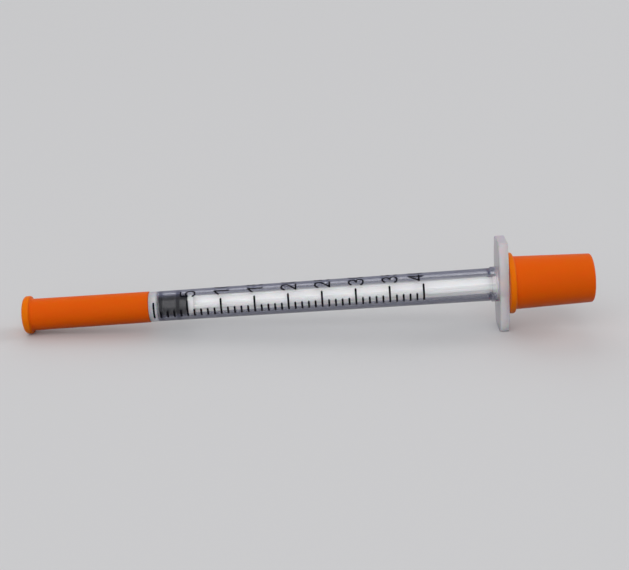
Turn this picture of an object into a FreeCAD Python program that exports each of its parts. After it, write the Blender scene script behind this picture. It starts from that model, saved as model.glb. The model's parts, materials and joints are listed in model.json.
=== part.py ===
import FreeCAD, Part
import math
import os

import Sketcher

# A small disposable syringe with a fixed needle, lying capped on a table.
# Millimetres. Every piece is turned or padded along its own X axis, and then laid on the
# common axis of the syringe, which rises from the needle shield's lip to the finger flange.

doc = FreeCAD.newDocument("syringe")
sheet = doc.addObject("Spreadsheet::Sheet", "Sizes")

# The driving sizes, each written once.
SIZES = [
    # running gaps between pieces
    ("fit_clearance", 0.05, "radial gap of the two push-on caps on their seats"),
    ("rubber_clearance", 0.03, "radial gap of the gasket in the bore and on its barb"),
    ("needle_clearance", 0.01, "radial gap of the needle in the nose"),
    ("seat_gap", 0.05, "end gap between a cap and the shoulder it meets"),
    # barrel tube
    ("bore_radius", 2.40, "inside radius of the barrel"),
    ("barrel_wall", 0.65, "wall at the needle end of the barrel"),
    ("barrel_draft", 0.30, "growth of the outside radius from the shoulder to the flange"),
    ("barrel_length", 71.50, "shoulder to the front face of the flange"),
    ("front_wall", 1.55, "shoulder to the front end of the bore"),
    ("root_height", 0.22, "step of the thicker ring at the flange's root"),
    ("root_length", 1.20, "length of that ring"),
    ("bead_height", 0.28, "height of the retaining bead inside the bore"),
    ("bead_length", 1.60, "length of the retaining bead"),
    ("bead_crest_length", 0.32, "length of the bead's crest"),
    ("bead_setback", 1.20, "from the bead to the front face of the flange"),
    ("mouth_flare", 0.60, "growth of the bore radius at its open end"),
    # finger flange
    ("flange_thickness", 2.00, "along the axis"),
    ("flange_height", 19.10, "from end facet to end facet"),
    ("flange_end_width", 5.80, "width of an end facet"),
    ("flange_mid_width", 8.80, "width across the middle"),
    ("flange_corner_radius", 0.80, "rounding of the four corners"),
    ("flange_edge", 0.30, "broken edges of the two faces"),
    # ring behind the flange that carries the plunger cap
    ("seat_radius", 4.20, "outside radius of the ring"),
    ("seat_length", 3.20, "length of the ring"),
    ("seat_chamfer", 0.35, "lead-in on the ring"),
    # nose with the needle
    ("nose_length", 8.50, "shoulder to the tip of the nose"),
    ("collar_radius", 2.35, "ring at the nose's base that grips the shield"),
    ("collar_length", 2.20, "length of that ring"),
    ("collar_chamfer", 0.30, "lead-in on that ring"),
    ("post_base_radius", 1.50, "nose post at its base"),
    ("post_tip_radius", 0.85, "nose post at its tip"),
    ("fin_count", 6, "fins around the nose post"),
    ("fin_thickness", 0.55, "thickness of a fin"),
    ("fin_step", 0.15, "how far the fins stay below the collar"),
    ("fin_tip_height", 0.30, "height of a fin's front end above the post's tip radius"),
    ("fin_setback", 1.50, "from the nose tip to the fins' front ends"),
    ("channel_radius", 0.30, "fluid channel between bore and needle"),
    ("channel_length", 2.60, "length of that channel"),
    ("well_radius", 0.55, "mouth of the glue well"),
    ("well_depth", 1.10, "depth of the glue well"),
    ("glue_rise", 0.18, "how far the glue climbs the needle"),
    # needle
    ("needle_radius", 0.165, "outside radius of the steel tube"),
    ("lumen_radius", 0.095, "inside radius of the steel tube"),
    ("needle_exposed", 12.70, "nose tip to needle point"),
    ("bevel_length", 1.50, "length of the ground point"),
    # gasket
    ("gasket_length", 6.45, "front point to rear face"),
    ("gasket_cone", 0.45, "depth of the blunt front cone"),
    ("gasket_waist", 0.17, "how far the waist stays below the sealing ribs"),
    ("rib_width", 0.80, "width of a sealing rib"),
    ("rib_slope", 0.25, "run of a rib's flank"),
    ("rear_rib_station", 4.00, "front point to the rear sealing rib"),
    # plunger rod
    ("barb_radius", 1.35, "largest radius of the barb in the gasket"),
    ("barb_nose_radius", 0.60, "front of the barb"),
    ("barb_length", 1.50, "length of the barb"),
    ("neck_radius", 0.85, "neck behind the barb"),
    ("neck_length", 1.60, "length of the neck"),
    ("disc_radius", 2.20, "front disc that pushes the gasket"),
    ("disc_thickness", 1.20, "thickness of the front disc"),
    ("core_radius", 0.50, "round core where the four ribs meet"),
    ("rib_span", 3.50, "width over two opposite ribs"),
    ("rib_thickness", 0.75, "thickness of a rib"),
    ("rod_length", 76.70, "front disc to thumb disc"),
    ("rib_flare_radius", 2.70, "reach of the ribs at the thumb disc"),
    ("rib_flare_length", 3.00, "length over which they widen"),
    ("thumb_radius", 4.05, "thumb disc"),
    ("thumb_thickness", 1.50, "thickness of the thumb disc"),
    ("thumb_edge", 0.30, "broken edges of the thumb disc"),
    ("thumb_dish_radius", 3.20, "shallow dish in the thumb disc"),
    ("thumb_dish_depth", 0.30, "depth of that dish"),
    ("dish_edge_run", 0.50, "run of a dish's sloping edge"),
    # needle shield
    ("shield_length", 26.00, "closed end to mouth"),
    ("shield_mouth_wall", 0.71, "wall at the mouth"),
    ("shield_draft", 0.125, "growth of the outside radius towards the closed end"),
    ("shield_bore_draft", 0.25, "loss of the inside radius towards the closed end"),
    ("shield_end_wall", 1.20, "thickness of the closed end"),
    ("lip_height", 0.685, "lip at the closed end above the shield's side"),
    ("lip_width", 1.50, "width of the lip"),
    ("lip_edge_radius", 0.60, "rounding of the lip's outer edge, which meets the table"),
    ("lip_inner_edge", 0.35, "broken edge of the lip towards the shield's side"),
    ("shield_dish_radius", 2.30, "shallow dish in the closed end"),
    ("shield_dish_depth", 0.30, "depth of that dish"),
    # plunger cap
    ("thumb_room", 2.35, "from the thumb disc to the inside of the closed end"),
    ("cap_mouth_wall", 1.20, "wall at the mouth"),
    ("cap_wall", 0.80, "wall at the closed end"),
    ("cap_end_wall", 1.00, "thickness of the closed end"),
    ("thumb_clearance", 0.12, "radial room of the thumb disc in the cap"),
    ("cap_lip_height", 0.80, "lip at the mouth above the cap's side"),
    ("cap_lip_width", 1.25, "width of that lip"),
    ("cap_lip_edge", 0.40, "broken edges of that lip"),
    ("cap_end_edge", 0.40, "broken edge of the closed end"),
]
for row, (name, value, note) in enumerate(SIZES, start=1):
    sheet.set(f"A{row}", name)
    sheet.set(f"B{row}", str(value))
    sheet.set(f"C{row}", note)
    sheet.setAlias(f"B{row}", name)
doc.recompute()

# Two coordinates this close are the same, in millimetres.
NEAR = 1e-4


def size(name):
    """The value of one cell of the sheet."""
    return float(getattr(sheet, name))


def new_body(label):
    body = doc.addObject("PartDesign::Body", label)
    body.Label = label
    return body


def origin_plane(body, role):
    return next(f for f in body.Origin.OriginFeatures if f.Role == role)


def new_sketch(body, name, role="XZ_Plane"):
    sketch = body.newObject("Sketcher::SketchObject", name)
    sketch.AttachmentSupport = [(origin_plane(body, role), "")]
    sketch.MapMode = "FlatFace"
    return sketch


def bind_distance(sketch, kind, vertex, expression):
    """Fixes one coordinate of a vertex to an expression, measured from the sketch's origin."""
    name = f"{kind}_{vertex}"
    across = {"DistanceX": -2, "DistanceY": -1}[kind]
    if expression == "0":
        sketch.addConstraint(Sketcher.Constraint("PointOnObject", vertex, 1, across))
        return
    negative = expression.startswith("-")
    expression = expression.lstrip("-")
    value = float(sketch.evalExpression(expression))
    ends = (vertex, 1, -1, 1) if negative else (-1, 1, vertex, 1)
    index = sketch.addConstraint(Sketcher.Constraint(kind, *ends, value))
    sketch.renameConstraint(index, name)
    sketch.setExpression(f"Constraints.{name}", expression)


def polygon(sketch, corners):
    """Draws a closed outline whose corners are pairs of expressions, each bound to the sheet."""
    def value(expression):
        sign = -1.0 if expression.startswith("-") else 1.0
        return sign * float(sketch.evalExpression(expression.lstrip("-")))

    points = [FreeCAD.Vector(value(x), value(y), 0) for x, y in corners]
    for start, end in zip(points, points[1:] + points[:1]):
        sketch.addGeometry(Part.LineSegment(start, end), False)
    count = len(corners)
    for i in range(count):
        sketch.addConstraint(Sketcher.Constraint("Coincident", i, 2, (i + 1) % count, 1))
    for i, (x, y) in enumerate(corners):
        bind_distance(sketch, "DistanceX", i, x)
        bind_distance(sketch, "DistanceY", i, y)


def revolve(body, name, corners, cut=False):
    """Turns an outline of (station, radius) about the body's X axis, to add or to cut."""
    sketch = new_sketch(body, name + "_profile")
    polygon(sketch, corners)
    before = body.Shape.Volume if cut else 0.0
    feature = body.newObject("PartDesign::Groove" if cut else "PartDesign::Revolution", name)
    feature.Profile = sketch
    feature.ReferenceAxis = (sketch, ["H_Axis"])
    feature.Angle = 360.0
    doc.recompute()
    if cut and not body.Shape.Volume < before:
        raise RuntimeError(f"{name} cut nothing")
    return feature


def dress_edges(body, name, kind, amount, wanted):
    """Rounds or breaks the edges of the body's last feature for which wanted(edge) is true."""
    base = body.Tip
    names = [f"Edge{i}" for i, e in enumerate(base.Shape.Edges, start=1) if wanted(e)]
    if not names:
        raise RuntimeError(f"{name} found no edge")
    dressing = body.newObject(f"PartDesign::{kind}", name)
    dressing.Base = (base, names)
    dressing.setExpression({"Fillet": "Radius", "Chamfer": "Size"}[kind], amount)
    doc.recompute()
    return dressing


def rim(edge, station, radius):
    """True for a circle about the X axis at that station and radius."""
    curve = edge.Curve
    if not isinstance(curve, Part.Circle):
        return False
    centre = curve.Center
    on_axis = math.hypot(centre.y, centre.z) < NEAR
    return on_axis and abs(centre.x - station) < NEAR and abs(curve.Radius - radius) < NEAR


def make_barrel():
    """One moulding: finned nose, graduated tube, finger flange and the cap's seat.

    Its X axis runs from the nose tip to the rear, so the shoulder lies at nose_length.
    """
    body = new_body("barrel")
    shoulder = "Sizes.nose_length"
    collar_front = "Sizes.nose_length - Sizes.collar_length"
    tube_radius = "Sizes.bore_radius + Sizes.barrel_wall"
    rear_radius = "Sizes.bore_radius + Sizes.barrel_wall + Sizes.barrel_draft"
    flange_front = "Sizes.nose_length + Sizes.barrel_length"
    root_front = "Sizes.nose_length + Sizes.barrel_length - Sizes.root_length"
    flange_middle = flange_front + " + Sizes.flange_thickness / 2"
    seat_end = flange_front + " + Sizes.flange_thickness + Sizes.seat_length"
    revolve(body, "tube_and_nose", [
        ("0", "0"),
        ("0", "Sizes.post_tip_radius"),
        (collar_front + " - Sizes.collar_chamfer", "Sizes.post_base_radius"),
        (collar_front, "Sizes.collar_radius - Sizes.collar_chamfer"),
        (collar_front + " + Sizes.collar_chamfer", "Sizes.collar_radius"),
        (shoulder, "Sizes.collar_radius"),
        (shoulder, tube_radius),
        (root_front + " - Sizes.root_height", rear_radius),
        (root_front, rear_radius + " + Sizes.root_height"),
        (flange_middle, rear_radius + " + Sizes.root_height"),
        (flange_middle, "0"),
    ])

    # one fin along the nose post, then the ring of them
    fin = new_sketch(body, "fin_profile")
    polygon(fin, [
        ("Sizes.fin_setback", "0"),
        ("Sizes.fin_setback", "Sizes.post_tip_radius + Sizes.fin_tip_height"),
        (collar_front + " - Sizes.collar_chamfer", "Sizes.collar_radius - Sizes.fin_step"),
        (collar_front + " + Sizes.collar_chamfer", "Sizes.collar_radius - Sizes.fin_step"),
        (collar_front + " + Sizes.collar_chamfer", "0"),
    ])
    pad = body.newObject("PartDesign::Pad", "fin")
    pad.Profile = fin
    pad.setExpression("Length", "Sizes.fin_thickness")
    pad.SideType = "Symmetric"
    doc.recompute()
    ring = body.newObject("PartDesign::PolarPattern", "fins")
    ring.Originals = [pad]
    ring.Axis = (fin, ["H_Axis"])
    ring.Angle = 360.0
    ring.setExpression("Occurrences", "Sizes.fin_count")
    body.Tip = ring
    doc.recompute()

    add_flange(body, flange_front)
    revolve(body, "cap_seat", [
        (flange_middle, "0"),
        (flange_middle, "Sizes.seat_radius"),
        (seat_end + " - Sizes.seat_chamfer", "Sizes.seat_radius"),
        (seat_end, "Sizes.seat_radius - Sizes.seat_chamfer"),
        (seat_end, "0"),
    ])

    # the bore with its retaining bead and flared mouth, the fluid channel, the needle's hole
    # and the glue well, as one turned cut
    bore_front = "Sizes.nose_length + Sizes.front_wall"
    channel_front = bore_front + " - Sizes.channel_length"
    bead_rear = flange_front + " - Sizes.bead_setback"
    bead_crest = "Sizes.bore_radius - Sizes.bead_height"
    needle_hole = "Sizes.needle_radius + Sizes.needle_clearance"
    revolve(body, "bore", [
        ("0", "0"),
        ("0", "Sizes.well_radius"),
        ("Sizes.well_depth", needle_hole),
        (channel_front, needle_hole),
        (channel_front, "Sizes.channel_radius"),
        (bore_front, "Sizes.channel_radius"),
        (bore_front, "Sizes.bore_radius"),
        (bead_rear + " - Sizes.bead_length", "Sizes.bore_radius"),
        (bead_rear + " - (Sizes.bead_length + Sizes.bead_crest_length) / 2", bead_crest),
        (bead_rear + " - (Sizes.bead_length - Sizes.bead_crest_length) / 2", bead_crest),
        (bead_rear, "Sizes.bore_radius"),
        (flange_front + " + Sizes.flange_thickness", "Sizes.bore_radius"),
        (seat_end, "Sizes.bore_radius + Sizes.mouth_flare"),
        (seat_end, "0"),
    ], cut=True)
    return body


def add_flange(body, front):
    """The finger flange: flat ends that it can rest on, and bowed sides."""
    sketch = new_sketch(body, "flange_outline", "YZ_Plane")
    sketch.setExpression("AttachmentOffset.Base.z", front)
    half_height = size("flange_height") / 2
    half_end = size("flange_end_width") / 2
    bow = (size("flange_mid_width") - size("flange_end_width")) / 2
    side_radius = (bow ** 2 + half_height ** 2) / (2 * bow)
    centre = half_end + bow - side_radius
    spread = math.atan2(half_height, half_end - centre)
    axis = FreeCAD.Vector(0, 0, 1)
    right = Part.Circle(FreeCAD.Vector(centre, 0, 0), axis, side_radius)
    left = Part.Circle(FreeCAD.Vector(-centre, 0, 0), axis, side_radius)
    top_right = FreeCAD.Vector(half_end, half_height, 0)
    top_left = FreeCAD.Vector(-half_end, half_height, 0)
    low_right = FreeCAD.Vector(half_end, -half_height, 0)
    low_left = FreeCAD.Vector(-half_end, -half_height, 0)
    top = sketch.addGeometry(Part.LineSegment(top_right, top_left), False)
    far = sketch.addGeometry(Part.ArcOfCircle(left, math.pi - spread, math.pi + spread), False)
    low = sketch.addGeometry(Part.LineSegment(low_left, low_right), False)
    near = sketch.addGeometry(Part.ArcOfCircle(right, -spread, spread), False)
    link = Sketcher.Constraint
    sketch.addConstraint(link("Coincident", top, 2, far, 1))
    sketch.addConstraint(link("Coincident", far, 2, low, 1))
    sketch.addConstraint(link("Coincident", low, 2, near, 1))
    sketch.addConstraint(link("Coincident", near, 2, top, 1))
    sketch.addConstraint(link("Symmetric", top, 1, top, 2, -2))
    sketch.addConstraint(link("Symmetric", low, 1, low, 2, -2))
    sketch.addConstraint(link("Symmetric", top, 1, low, 2, -1))
    half_bow = "(Sizes.flange_mid_width - Sizes.flange_end_width) / 2"
    radius = f"(({half_bow}) ^ 2 + (Sizes.flange_height / 2) ^ 2) / (2 * ({half_bow}))"
    for name, kind, where, value, expression in (
        ("end_width", "DistanceX", (low, 1, low, 2), 2 * half_end, "Sizes.flange_end_width"),
        ("height", "DistanceY", (low, 2, top, 1), 2 * half_height, "Sizes.flange_height"),
        ("near_side", "Radius", (near,), side_radius, radius),
        ("far_side", "Radius", (far,), side_radius, radius),
    ):
        index = sketch.addConstraint(link(kind, *where, value))
        sketch.renameConstraint(index, name)
        sketch.setExpression(f"Constraints.{name}", expression)
    pad = body.newObject("PartDesign::Pad", "flange")
    pad.Profile = sketch
    pad.setExpression("Length", "Sizes.flange_thickness")
    doc.recompute()

    front_face = size("nose_length") + size("barrel_length")
    faces = (front_face, front_face + size("flange_thickness"))

    def is_corner(edge):
        ends = [v.Point for v in edge.Vertexes]
        if len(ends) != 2 or abs(ends[0].x - ends[1].x) < NEAR:
            return False
        return all(abs(abs(p.z) - half_height) < NEAR for p in ends)

    dress_edges(body, "flange_corners", "Fillet", "Sizes.flange_corner_radius", is_corner)

    def is_top_edge(edge):
        box = edge.BoundBox
        on_face = box.XLength < NEAR and any(abs(box.XMin - x) < NEAR for x in faces)
        return on_face and box.ZMin > half_height - NEAR

    # each broken edge starts on the upper facet and follows the smooth outline round
    dress_edges(body, "flange_edges", "Chamfer", "Sizes.flange_edge", is_top_edge)


def make_needle():
    """Stainless tube with a ground point. Its X axis runs from the point to the rear."""
    body = new_body("needle")
    length = "Sizes.needle_exposed + Sizes.nose_length + Sizes.front_wall - Sizes.channel_length"
    revolve(body, "steel_tube", [
        ("0", "Sizes.lumen_radius"),
        ("0", "Sizes.needle_radius"),
        (length, "Sizes.needle_radius"),
        (length, "Sizes.lumen_radius"),
    ])
    sketch = new_sketch(body, "grinding_plane")
    polygon(sketch, [
        ("-Sizes.bevel_length / 2", "-Sizes.needle_radius * 2"),
        ("Sizes.bevel_length * 1.5", "Sizes.needle_radius * 2"),
        ("-Sizes.bevel_length / 2", "Sizes.needle_radius * 2"),
    ])
    before = body.Shape.Volume
    bevel = body.newObject("PartDesign::Pocket", "ground_point")
    bevel.Profile = sketch
    bevel.setExpression("Length", "Sizes.needle_radius * 4")
    bevel.SideType = "Symmetric"
    doc.recompute()
    if not body.Shape.Volume < before:
        raise RuntimeError("the needle's point was not ground")
    return body


def make_glue():
    """Cone of adhesive that holds the needle in the nose. Its X axis starts at the nose tip."""
    body = new_body("needle_adhesive")
    on_needle = "Sizes.needle_radius + Sizes.needle_clearance"
    revolve(body, "bead", [
        ("-Sizes.glue_rise", on_needle),
        ("0", "Sizes.well_radius"),
        ("Sizes.well_depth", on_needle),
    ])
    return body


def make_gasket():
    """Rubber stopper with two sealing ribs, moulded over the barb of the plunger rod."""
    body = new_body("gasket")
    rib = "Sizes.bore_radius - Sizes.rubber_clearance"
    waist = rib + " - Sizes.gasket_waist"
    front_rib = "Sizes.gasket_cone"
    revolve(body, "stopper", [
        ("0", "0"),
        (front_rib, rib),
        (front_rib + " + Sizes.rib_width", rib),
        (front_rib + " + Sizes.rib_width + Sizes.rib_slope", waist),
        ("Sizes.rear_rib_station - Sizes.rib_slope", waist),
        ("Sizes.rear_rib_station", rib),
        ("Sizes.rear_rib_station + Sizes.rib_width", rib),
        ("Sizes.rear_rib_station + Sizes.rib_width + Sizes.rib_slope", waist),
        ("Sizes.gasket_length", waist),
        ("Sizes.gasket_length", "0"),
    ])
    gap = " + Sizes.rubber_clearance"
    neck_front = "Sizes.gasket_length - Sizes.neck_length"
    barb_front = neck_front + " - Sizes.barb_length"
    revolve(body, "barb_cavity", [
        (barb_front + " - Sizes.rubber_clearance", "0"),
        (barb_front + " - Sizes.rubber_clearance", "Sizes.barb_nose_radius" + gap),
        (neck_front, "Sizes.barb_radius" + gap),
        (neck_front + gap, "Sizes.barb_radius" + gap),
        (neck_front + gap, "Sizes.neck_radius" + gap),
        ("Sizes.gasket_length", "Sizes.neck_radius" + gap),
        ("Sizes.gasket_length", "0"),
    ], cut=True)
    return body


def make_plunger_rod():
    """Cross-ribbed rod: barb, front disc, four ribs on a thin core, dished thumb disc."""
    body = new_body("plunger_rod")
    neck = "Sizes.barb_length"
    disc = "Sizes.barb_length + Sizes.neck_length"
    disc_rear = disc + " + Sizes.disc_thickness"
    thumb = disc_rear + " + Sizes.rod_length"
    thumb_rear = thumb + " + Sizes.thumb_thickness"
    revolve(body, "turned_parts", [
        ("0", "0"),
        ("0", "Sizes.barb_nose_radius"),
        (neck, "Sizes.barb_radius"),
        (neck, "Sizes.neck_radius"),
        (disc, "Sizes.neck_radius"),
        (disc, "Sizes.disc_radius"),
        (disc_rear, "Sizes.disc_radius"),
        (disc_rear, "Sizes.core_radius"),
        (thumb, "Sizes.core_radius"),
        (thumb, "Sizes.thumb_radius"),
        (thumb_rear, "Sizes.thumb_radius"),
        (thumb_rear, "Sizes.thumb_dish_radius"),
        (thumb_rear + " - Sizes.thumb_dish_depth", "Sizes.thumb_dish_radius - Sizes.dish_edge_run"),
        (thumb_rear + " - Sizes.thumb_dish_depth", "0"),
    ])
    front = sum(map(size, ("barb_length", "neck_length", "disc_thickness", "rod_length")))
    ends = (front, front + size("thumb_thickness"))
    dress_edges(body, "thumb_edges", "Chamfer", "Sizes.thumb_edge",
                lambda e: any(rim(e, x, size("thumb_radius")) for x in ends))

    sketch = new_sketch(body, "rib_profile")
    polygon(sketch, [
        (disc_rear, "0"),
        (disc_rear, "Sizes.rib_span / 2"),
        (thumb + " - Sizes.rib_flare_length", "Sizes.rib_span / 2"),
        (thumb, "Sizes.rib_flare_radius"),
        (thumb, "0"),
    ])
    rib = body.newObject("PartDesign::Pad", "rib")
    rib.Profile = sketch
    rib.setExpression("Length", "Sizes.rib_thickness")
    rib.SideType = "Symmetric"
    doc.recompute()
    ribs = body.newObject("PartDesign::PolarPattern", "ribs")
    ribs.Originals = [rib]
    ribs.Axis = (sketch, ["H_Axis"])
    ribs.Angle = 360.0
    ribs.Occurrences = 4
    body.Tip = ribs
    doc.recompute()
    return body


def make_needle_shield():
    """Long push-on cap over the needle, with a rounded lip at its closed end."""
    body = new_body("needle_shield")
    mouth = "Sizes.collar_radius + Sizes.fit_clearance + Sizes.shield_mouth_wall"
    side = mouth + " + Sizes.shield_draft"
    lip = side + " + Sizes.lip_height"
    revolve(body, "outside", [
        ("0", "0"),
        ("0", lip),
        ("Sizes.lip_width", lip),
        ("Sizes.lip_width", side),
        ("Sizes.shield_length", mouth),
        ("Sizes.shield_length", "0"),
    ])
    lip_radius = sum(map(size, (
        "collar_radius", "fit_clearance", "shield_mouth_wall", "shield_draft", "lip_height")))
    dress_edges(body, "lip_outer_edge", "Fillet", "Sizes.lip_edge_radius",
                lambda e: rim(e, 0.0, lip_radius))
    dress_edges(body, "lip_inner_edge", "Chamfer", "Sizes.lip_inner_edge",
                lambda e: rim(e, size("lip_width"), lip_radius))
    bore = "Sizes.collar_radius + Sizes.fit_clearance"
    revolve(body, "inside", [
        ("Sizes.shield_end_wall", "0"),
        ("Sizes.shield_end_wall", bore + " - Sizes.shield_bore_draft"),
        ("Sizes.shield_length - Sizes.collar_length", bore),
        ("Sizes.shield_length", bore),
        ("Sizes.shield_length", "0"),
    ], cut=True)
    revolve(body, "end_dish", [
        ("0", "0"),
        ("0", "Sizes.shield_dish_radius"),
        ("Sizes.shield_dish_depth", "Sizes.shield_dish_radius - Sizes.dish_edge_run"),
        ("Sizes.shield_dish_depth", "0"),
    ], cut=True)
    return body


# From the cap's mouth, just behind the flange, to its closed end, which clears the thumb disc.
CAP_LENGTH = (
    "(Sizes.front_wall + Sizes.gasket_length + Sizes.disc_thickness + Sizes.rod_length"
    " + Sizes.thumb_thickness + Sizes.thumb_room + Sizes.cap_end_wall"
    " - Sizes.barrel_length - Sizes.flange_thickness)"
)


def make_plunger_cap():
    """Short push-on cap over the thumb disc, with a lip at its mouth against the flange."""
    body = new_body("plunger_cap")
    bore = "Sizes.seat_radius + Sizes.fit_clearance"
    mouth = bore + " + Sizes.cap_mouth_wall"
    end_bore = "Sizes.thumb_radius + Sizes.thumb_clearance"
    end = end_bore + " + Sizes.cap_wall"
    lip = mouth + " + Sizes.cap_lip_height"
    revolve(body, "outside", [
        ("0", "0"),
        ("0", lip),
        ("Sizes.cap_lip_width", lip),
        ("Sizes.cap_lip_width", mouth),
        (CAP_LENGTH, end),
        (CAP_LENGTH, "0"),
    ])
    lip_radius = sum(map(size, (
        "seat_radius", "fit_clearance", "cap_mouth_wall", "cap_lip_height")))
    dress_edges(body, "lip_edges", "Chamfer", "Sizes.cap_lip_edge",
                lambda e: any(rim(e, x, lip_radius) for x in (0.0, size("cap_lip_width"))))
    end_radius = sum(map(size, ("thumb_radius", "thumb_clearance", "cap_wall")))
    closed_end = body.Shape.BoundBox.XMax
    dress_edges(body, "end_edge", "Chamfer", "Sizes.cap_end_edge",
                lambda e: rim(e, closed_end, end_radius))
    revolve(body, "inside", [
        ("0", "0"),
        ("0", bore),
        (CAP_LENGTH + " - Sizes.cap_end_wall", end_bore),
        (CAP_LENGTH + " - Sizes.cap_end_wall", "0"),
    ], cut=True)
    return body


def rest_tilt():
    """Tilt at which the shield's lip and the flange's lower facet touch the table together.

    The lip touches with its rounding, whose centre lies at a station along the axis and at a
    distance below it. The facet touches with its front edge, behind the broken edge of the
    flange's front face. Both reach down to the same level.
    """
    lip_edge = size("lip_edge_radius")
    lip_drop = sum(map(size, ("collar_radius", "fit_clearance", "shield_mouth_wall",
                              "shield_draft", "lip_height"))) - lip_edge
    run = flange_station() + size("flange_edge") - lip_edge
    rise = size("flange_height") / 2 - lip_drop
    tilt = math.atan2(rise, run) - math.asin(lip_edge / math.hypot(run, rise))
    height = lip_drop * math.cos(tilt) + lip_edge - lip_edge * math.sin(tilt)
    return tilt, height


def shoulder_station():
    return size("shield_length") + size("seat_gap")


def flange_station():
    return shoulder_station() + size("barrel_length")


# Stations along the axis, from the closed end of the needle shield.
shoulder = shoulder_station()
flange_rear = flange_station() + size("flange_thickness")
gasket_front = shoulder + size("front_wall") + size("seat_gap")
gasket_rear = gasket_front + size("gasket_length")
pieces = [
    (make_needle_shield(), 0.0),
    (make_barrel(), shoulder - size("nose_length")),
    (make_needle(), shoulder - size("nose_length") - size("needle_exposed")),
    (make_glue(), shoulder - size("nose_length")),
    (make_gasket(), gasket_front),
    (make_plunger_rod(), gasket_rear - size("barb_length") - size("neck_length")),
    (make_plunger_cap(), flange_rear + size("seat_gap")),
]

tilt, height = rest_tilt()
along = FreeCAD.Vector(math.cos(tilt), 0, math.sin(tilt))
turn = FreeCAD.Rotation(FreeCAD.Vector(0, 1, 0), -math.degrees(tilt))


def lay(shift):
    """Puts every piece on the axis, whose start stands at height and at shift along X."""
    start = FreeCAD.Vector(shift, 0, height)
    for body, station in pieces:
        body.Placement = FreeCAD.Placement(start + along * station, turn)
    doc.recompute()


lay(0.0)
boxes = [body.Shape.optimalBoundingBox(False, False) for body, station in pieces]
middle = (min(b.XMin for b in boxes) + max(b.XMax for b in boxes)) / 2
lay(-middle)

os.makedirs("parts", exist_ok=True)
for obj in doc.Objects:
    if {"Invalid", "Error"} & set(obj.State):
        raise RuntimeError(f"{obj.Name} failed: {obj.State}")
for body, station in pieces:
    shape = body.Shape
    if shape.isNull() or not shape.isValid() or len(shape.Solids) != 1:
        raise RuntimeError(f"{body.Label} is not one valid solid")
for body, station in pieces:
    body.Shape.exportStep(f"parts/{body.Label}.step")
    print(f"{body.Label}: station {station:.3f}, volume {body.Shape.Volume:.3f}")
print(f"tilt {math.degrees(tilt):.4f} degrees, axis start ({-middle:.4f}, 0, {height:.4f})")
print(f"flange faces at stations {flange_station():.3f} and {flange_rear:.3f}")
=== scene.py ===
import json
import math

import bmesh
import bpy
import numpy as np
from mathutils import Matrix, Vector


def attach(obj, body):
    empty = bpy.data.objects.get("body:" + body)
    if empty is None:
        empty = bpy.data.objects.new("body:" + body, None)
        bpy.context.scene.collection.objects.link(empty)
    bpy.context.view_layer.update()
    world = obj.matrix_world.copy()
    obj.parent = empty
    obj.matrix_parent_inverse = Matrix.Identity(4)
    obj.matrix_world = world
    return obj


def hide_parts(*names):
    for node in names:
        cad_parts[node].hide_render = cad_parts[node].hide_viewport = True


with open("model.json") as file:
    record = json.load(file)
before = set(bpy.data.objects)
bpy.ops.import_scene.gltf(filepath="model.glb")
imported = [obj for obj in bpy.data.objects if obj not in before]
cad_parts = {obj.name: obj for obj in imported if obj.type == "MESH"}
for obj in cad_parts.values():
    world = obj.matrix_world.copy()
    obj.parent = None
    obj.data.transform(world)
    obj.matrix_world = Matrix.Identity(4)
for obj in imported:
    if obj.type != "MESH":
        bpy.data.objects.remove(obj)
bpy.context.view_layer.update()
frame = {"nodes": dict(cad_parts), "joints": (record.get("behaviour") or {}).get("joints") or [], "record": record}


# Needle shield: a long thin cup of orange polypropylene, moulded in one piece with a rounded
# lip at its closed end. It pushes over the collar at the foot of the barrel's nose. The syringe
# lies on this lip and on its finger flange, so its own axis climbs a little.
SHIELD_MOUTH_RADIUS = 3.19
SHIELD_END_RADIUS = 3.29
SHIELD_LIP_RADIUS = 3.915
SHIELD_LIP_WIDTH = 1.5
SHIELD_LIP_END_ROUND = 0.6
SHIELD_LIP_BACK_ROUND = 0.38
SHIELD_LIP_ROOT_ROUND = 0.30
SHIELD_MOUTH_BORE = 2.40
SHIELD_MOUTH_ROUND = 0.12
SHIELD_GRIP = 2.2
SHIELD_END_BORE = 2.15
SHIELD_END_WALL = 1.2
SHIELD_BOTTOM_ROUND = 0.4
SHIELD_DISH_RADIUS = 2.3
DISH_SLOPE = 0.5
DISH_DEPTH = 0.3
DISH_RIM_ROUND = 0.2
DISH_FLOOR_ROUND = 0.3
LONGEST_STEP = 0.6
ROUND_STEPS = 7
ROUND_STEPS_SWEEP = 1.5
LEAST_ROUND_STEPS = 3
SAME_POINT = 1e-5
TURN_STEPS = 144
SHARP_EDGE = 50
MM = 0.001

# Stations run along the syringe's axis, in millimetres from the closed end of the shield.
ALONG = np.array(next(j["axis"] for j in frame["joints"] if j["name"] == "plunger_slide"))
NEAR_SIDE = np.array([0.0, -1.0, 0.0])
UPWARD = np.array([-ALONG[2], 0.0, ALONG[0]])
needle_point = next(m for m in frame["record"]["mounts"] if m["name"] == "needle_point")
point_at = np.array(needle_point["pos_m"])
corners = np.array([v.co for v in frame["nodes"]["needle_shield"].data.vertices])
CLOSED_END = point_at + ALONG * ((corners - point_at) @ ALONG).min()


def span(node):
    """First and last station of a node of the frame, in millimetres."""
    points = np.array([v.co for v in frame["nodes"][node].data.vertices])
    stations = (points - CLOSED_END) @ ALONG / MM
    return stations.min(), stations.max()


def place(station, near, up):
    """Points of the frame: closed end + station x axis + near x near side + up x upward."""
    station, near, up = np.broadcast_arrays(station, near, up)
    return CLOSED_END + MM * (station[..., None] * ALONG + near[..., None] * NEAR_SIDE
                              + up[..., None] * UPWARD)


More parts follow.
